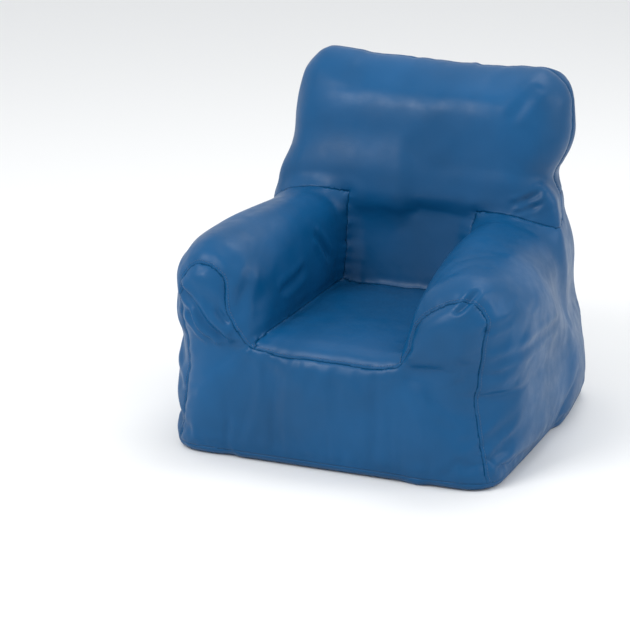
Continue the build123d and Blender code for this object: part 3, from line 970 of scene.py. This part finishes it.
def add_bump(tree, shader, height, strength, distance):
    """Adds a bump on top of those that the shader already has."""
    bump = tree.nodes.new("ShaderNodeBump")
    bump.inputs["Strength"].default_value = strength
    bump.inputs["Distance"].default_value = distance
    tree.links.new(height, bump.inputs["Height"])
    before = shader.inputs["Normal"].links
    if before:
        tree.links.new(before[0].from_socket, bump.inputs["Normal"])
    tree.links.new(bump.outputs["Normal"], shader.inputs["Normal"])


VINYL = (0.001, 0.066, 0.180)


def vinyl_material():
    """Upholstery vinyl: fine pebbled grain, a soft gloss that varies, and a slightly uneven blue."""
    material, tree, shader = node_material("blue_vinyl", VINYL, 0.4)
    broad = texture(tree, "ShaderNodeTexNoise", 7.0, Detail=3.0, Roughness=0.55)
    dark = tuple(c * 0.86 for c in VINYL)
    light = tuple(c * 1.14 for c in VINYL)
    colour_by(tree, shader, broad.outputs["Fac"], [(0.3, dark), (0.7, light)])
    worn = texture(tree, "ShaderNodeTexNoise", 38.0, Detail=4.0, Roughness=0.6)
    tree.links.new(span(tree, worn.outputs["Fac"], 0.33, 0.5, 0.3, 0.7), shader.inputs["Roughness"])
    grain = texture(tree, "ShaderNodeTexVoronoi", 780.0, feature="SMOOTH_F1", Smoothness=0.5)
    add_bump(tree, shader, grain.outputs["Distance"], 0.16, 0.25 * MM)
    fine = texture(tree, "ShaderNodeTexNoise", 210.0, Detail=4.0, Roughness=0.6)
    add_bump(tree, shader, fine.outputs["Fac"], 0.22, 0.35 * MM)
    slack = texture(tree, "ShaderNodeTexNoise", 26.0, Detail=2.0, Roughness=0.45)
    add_bump(tree, shader, slack.outputs["Fac"], 0.25, 1.6 * MM)
    shader.inputs["Specular IOR Level"].default_value = 0.24
    shader.inputs["Coat Weight"].default_value = 0.03
    shader.inputs["Coat Roughness"].default_value = 0.3
    return material


def thread_material():
    material, tree, shader = node_material("blue_thread", (0.008, 0.07, 0.19), 0.55)
    strands = texture(tree, "ShaderNodeTexWave", 900.0, Distortion=1.5)
    add_bump(tree, shader, strands.outputs["Fac"], 0.5, 0.15 * MM)
    tone = texture(tree, "ShaderNodeTexNoise", 300.0)
    colour_by(tree, shader, tone.outputs["Fac"], [(0.3, (0.006, 0.055, 0.15)), (0.7, (0.012, 0.09, 0.24))])
    shader.inputs["Sheen Weight"].default_value = 0.3
    return material


def woven_material(name, colour, pitch, roughness=0.8):
    """Plain woven cloth: two crossed waves raise the warp and the weft."""
    material, tree, shader = node_material(name, colour, roughness)
    warp = texture(tree, "ShaderNodeTexWave", 1 / pitch, bands_direction="X", Distortion=0.4)
    weft = texture(tree, "ShaderNodeTexWave", 1 / pitch, bands_direction="Z", Distortion=0.4)
    add_bump(tree, shader, warp.outputs["Fac"], 0.5, 0.2 * MM)
    add_bump(tree, shader, weft.outputs["Fac"], 0.5, 0.2 * MM)
    tone = texture(tree, "ShaderNodeTexNoise", 60.0, Detail=4.0)
    dark = tuple(c * 0.8 for c in colour)
    light = tuple(min(c * 1.15, 1) for c in colour)
    colour_by(tree, shader, tone.outputs["Fac"], [(0.3, dark), (0.7, light)])
    shader.inputs["Sheen Weight"].default_value = 0.2
    return material


def bead_material():
    """Expanded polystyrene beads, packed together, with painted shade in the gaps between them."""
    material, tree, shader = node_material("polystyrene_beads", (0.88, 0.88, 0.86), 0.6)
    beads = texture(tree, "ShaderNodeTexVoronoi", 260.0)
    add_bump(tree, shader, span(tree, beads.outputs["Distance"], 1, 0), 0.9, 2.2 * MM)
    # Painted shade: the colour darkens from each bead's middle towards its edge, standing in for the shade
    # in the gaps between packed beads.
    colour_by(tree, shader, beads.outputs["Distance"], [(0.2, (0.92, 0.92, 0.9)), (0.8, (0.5, 0.5, 0.49))])
    return material


def nylon_material():
    material, tree, shader = node_material("zip_nylon", (0.006, 0.045, 0.13), 0.35)
    scuffs = texture(tree, "ShaderNodeTexNoise", 420.0, Detail=4.0)
    tree.links.new(span(tree, scuffs.outputs["Fac"], 0.25, 0.5), shader.inputs["Roughness"])
    add_bump(tree, shader, scuffs.outputs["Fac"], 0.2, 0.1 * MM)
    return material


def slider_material():
    material, tree, shader = node_material("slider_lacquer", (0.01, 0.05, 0.14), 0.3)
    shader.inputs["Metallic"].default_value = 0.55
    flow = texture(tree, "ShaderNodeTexNoise", 240.0, Detail=3.0)
    tree.links.new(span(tree, flow.outputs["Fac"], 0.22, 0.42), shader.inputs["Roughness"])
    add_bump(tree, shader, flow.outputs["Fac"], 0.15, 0.1 * MM)
    return material


MATERIALS = {
    "vinyl": vinyl_material(),
    "thread": thread_material(),
    "liner_cloth": woven_material("liner_cloth", (0.7, 0.7, 0.66), 0.9 * MM),
    "divider_cloth": woven_material("divider_cloth", (0.05, 0.055, 0.07), 0.9 * MM),
    "beads": bead_material(),
    "zip_tape": woven_material("zip_tape", (0.007, 0.05, 0.145), 0.7 * MM, 0.7),
    "zip_plastic": nylon_material(),
    "slider_metal": slider_material(),
}


def make_cover():
    """Makes the vinyl panels and their stitching. Returns the finished skin as a tree to measure from."""
    me = make_skin()
    sew_skin(me)
    skin = link(bpy.data.objects.new("skin", me))
    inflate(skin)
    subdivide(skin)
    detail_skin(skin)
    me = skin.data
    co, normals = vertex_places(me), normals_of(me)
    quads, panel = face_corners(me), face_values(me, "panel")
    for name in PANELS[:-1]:
        piece = part_panel(name, panel, quads, co)
        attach(piece, "chair")
        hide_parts(name)

    arms = ["left_arm_panel", "right_arm_panel"]
    for seam, names, others in (
        ("front", arms + ["seat_panel"], ["front_panel"]),
        ("back", ["back_boxing_panel"], ["back_front_panel"]),
        ("rear", arms + ["back_boxing_panel"], ["rear_upper_panel", "rear_lower_panel"]),
    ):
        stitches = stitches_beside(co, normals, quads, panel, names, others)
        sew_line(seam + "_seam_stitches", seam + "_seam_stitching", stitches)
    tree = BVHTree.FromPolygons(co.tolist(), quads.tolist())
    bpy.data.objects.remove(skin)
    return tree


# -------------------- liner bags, beads and dividers
LINER_DEPTH = 17 * MM
BEAD_DEPTH = 19 * MM
INNER_GRID = 12 * MM
DIVIDER_PITCH = 8 * MM
DIVIDER_STEPS = 130


def compartment(p, name, depth):
    """Field of one compartment, at a depth under the skin."""
    x, back = p[..., 0], behind_back(p)
    inside = form(p) + depth
    if name == "back":
        zip_bay = p[..., 1] - (REAR_Y - depth - 6 * MM)
        return np.maximum(np.maximum(inside, 3 * MM + depth - LINER_DEPTH - back), zip_bay)
    inside = np.maximum(inside, back + 2 * MM + depth - LINER_DEPTH)
    if name == "seat":
        return np.maximum(inside, np.abs(x) - SEAT_HALF + 6 * MM + depth - LINER_DEPTH)
    side = x if name == "left_arm" else -x
    return np.maximum(inside, SEAT_HALF + 3 * MM + depth - LINER_DEPTH - side)


def keep_inside(co, cover, depth):
    """Moves each point that lies less than depth under the cover down to that depth."""
    moved = co.copy()
    for i, p in enumerate(co):
        place, normal, _, _ = cover.find_nearest(p)
        under = (place - Vector(p)).dot(normal)
        if under < depth:
            moved[i] += np.array(normal) * (under - depth)
    return moved


def fill_compartment(name, what, depth, slot, cover):
    """One liner bag or bead fill, kept clear of the cover."""
    verts, quads = surface_of(lambda p: compartment(p, name, depth), INNER_GRID, 2)
    obj = new_object(name + "_" + what + "_soft", verts.tolist(), quads.tolist(), MATERIALS[slot])
    me = obj.data
    co = relax(vertex_places(me), edge_pairs(me), 2)
    if what == "liner":
        co += normals_of(me) * (0.5 * MM * ripple(co, 45 * MM, 31))[:, None]
    for _ in range(3):
        co = keep_inside(co, cover, depth - 11 * MM)
    me.vertices.foreach_set("co", co.ravel())
    me.update()
    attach(obj, "chair")
    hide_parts(name + "_" + what)


def fill_compartments(cover):
    for name in ("seat", "back", "left_arm", "right_arm"):
        fill_compartment(name, "liner", LINER_DEPTH, "liner_cloth", cover)
        fill_compartment(name, "bead_fill", BEAD_DEPTH, "beads", cover)


def make_divider(name, origin, across, up, keep, cover):
    """A sheet of lining across the inside of the cover, in the plane of across and up through origin."""
    count = DIVIDER_STEPS
    steps = (np.arange(count) - count // 3) * DIVIDER_PITCH
    place = origin + across * steps[:, None, None] + up * steps[None, :, None]
    inside = (form(place) < -LINER_DEPTH - 2 * MM) & keep(place)
    full = inside[1:, 1:] & inside[1:, :-1] & inside[:-1, 1:] & inside[:-1, :-1]
    i, j = np.nonzero(full)
    corners = np.stack([i * count + j, (i + 1) * count + j, (i + 1) * count + j + 1, i * count + j + 1], 1)
    used, index = np.unique(corners, return_inverse=True)
    co = keep_inside(place.reshape(-1, 3)[used], cover, 6 * MM)
    faces = index.reshape(-1, 4).tolist()
    body = new_object(name + "_sheet", co.tolist(), faces, MATERIALS["divider_cloth"], smooth=False)
    thicken(body, 0.8 * MM, 0)
    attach(body, "chair")
    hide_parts(name)


def divide_inside(cover):
    """One divider up the back, and one beside the seat under each arm."""
    sideways, forwards, upwards = np.eye(3) * [1, -1, 1]
    up_the_back = np.array([0, math.sin(LEAN_ANGLE), math.cos(LEAN_ANGLE)])
    crease = np.array([0, CREASE_Y, SEAT_Z])
    make_divider("back_divider", crease, sideways, up_the_back, lambda p: p[..., 2] > 0, cover)
    for name, sign in (("left_arm_divider", 1), ("right_arm_divider", -1)):
        origin = crease + sideways * sign * SEAT_HALF
        make_divider(name, origin, forwards, upwards, lambda p: behind_back(p) < -6 * MM, cover)


# -------------------- zip and flap
def paint_zip():
    """The zip's own CAD pieces and its stitching stay, with these materials."""
    for row in frame["record"]["subparts"]:
        node = frame["nodes"][row["node"]]
        slot = row["material_slot"]
        if slot in ("zip_tape", "zip_plastic", "slider_metal") or "stitching" in row["node"]:
            for material_slot in node.material_slots:
                material_slot.material = MATERIALS[slot]


def flap_profile():
    """The flap's middle line from the top of its hem down to its lower edge, seen from the side: (y, z)."""
    hem_low, hem_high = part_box("zip_flap_hem")
    flap_low, flap_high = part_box("zip_flap")
    hem_y = (hem_low.y + hem_high.y) / 2
    hang_y = flap_high.y - 0.6 * MM
    heights = np.linspace(hem_high.z, flap_low.z, 30)
    away = step_up((hem_low.z - 2 * MM - heights) / (13 * MM))
    return [(hem_y + (hang_y - hem_y) * a, h) for a, h in zip(away, heights)]


def flap_sheet():
    """Vertices and faces of the flap: it waves a little below its hem, and its lower corners are round."""
    low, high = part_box("zip_flap")
    profile = flap_profile()
    columns, rows = 97, len(profile)
    verts, faces = [], []
    for i in range(columns):
        x = low.x + (high.x - low.x) * i / (columns - 1)
        for j, (y, z) in enumerate(profile):
            t = j / (rows - 1)
            wave = 0.5 * MM * t * math.sin(x / (21 * MM) + 2 * math.sin(x / (50 * MM)))
            corner = 3 * MM * max(0, t - 0.85) / 0.15 * (abs(x) / high.x) ** 40
            verts.append((x - math.copysign(corner, x), y + wave * (t > 0.4), z))
    for i in range(columns - 1):
        for j in range(rows - 1):
            a = i * rows + j
            faces.append((a, a + 1, a + rows + 1, a + rows))
    return verts, faces


def make_flap():
    """One sheet from the hem to the flap's lower edge, which bends at the hinge."""
    obj = new_object("zip_flap_soft", *flap_sheet(), MATERIALS["vinyl"])
    thicken(obj, 1.1 * MM, 0)
    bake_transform(obj)
    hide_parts("zip_flap", "zip_flap_fold", "zip_flap_hem")


# -------------------- camera, floor and light
CAMERA_AZIMUTH = math.radians(22.2)
CAMERA_ELEVATION = math.radians(17.5)
CAMERA_DISTANCE = 3.403
CAMERA_AIM = Vector((-118, 0, 141)) * MM
SENSOR_WIDTH = 36.0
FOCAL_LENGTH = 131.4286


def make_camera():
    """A long lens, from ahead and above, on the sitter's left."""
    back = Vector((
        math.sin(CAMERA_AZIMUTH) * math.cos(CAMERA_ELEVATION),
        -math.cos(CAMERA_AZIMUTH) * math.cos(CAMERA_ELEVATION),
        math.sin(CAMERA_ELEVATION),
    ))
    data = bpy.data.cameras.new("camera")
    data.sensor_width = SENSOR_WIDTH
    data.lens = FOCAL_LENGTH
    data.clip_end = 50
    camera = link(bpy.data.objects.new("camera", data))
    camera.location = CAMERA_AIM + back * CAMERA_DISTANCE
    camera.rotation_euler = back.to_track_quat("Z", "Y").to_euler()
    bpy.context.scene.camera = camera


def make_floor():
    """A wide, nearly white floor."""
    material, _, _ = node_material("floor", (0.86, 0.86, 0.85), 0.7)
    corners = [(-6, -6, 0), (6, -6, 0), (6, 6, 0), (-6, 6, 0)]
    floor = new_object("floor", corners, [(0, 1, 2, 3)], material, smooth=False)


def make_light(name, place, aim, size, power):
    """A square lamp that faces its aim."""
    data = bpy.data.lights.new(name, "AREA")
    data.size = size
    data.energy = power
    light = link(bpy.data.objects.new(name, data))
    light.location = place
    light.rotation_euler = (Vector(place) - Vector(aim)).to_track_quat("Z", "Y").to_euler()


def make_world():
    """An even, slightly cool light from all around."""
    world = bpy.data.worlds.new("studio")
    world.use_nodes = True
    background = world.node_tree.nodes["Background"]
    background.inputs["Color"].default_value = (0.95, 0.97, 1, 1)
    background.inputs["Strength"].default_value = 0.85
    bpy.context.scene.world = world
    bpy.context.scene.view_settings.view_transform = "Standard"


# -------------------- the scene
cover = make_cover()
fill_compartments(cover)
divide_inside(cover)
paint_zip()
make_flap()
make_camera()
make_floor()
make_world()
make_light("key", (-1.2, -2.2, 2.6), (0, 0, 0.25), 1.6, 58)
make_light("side", (2.6, 0.2, 1.8), (0, 0, 0.25), 1.6, 20)
make_light("top", (0.3, 0.8, 2.6), (0, 0, 0.3), 1.2, 16)
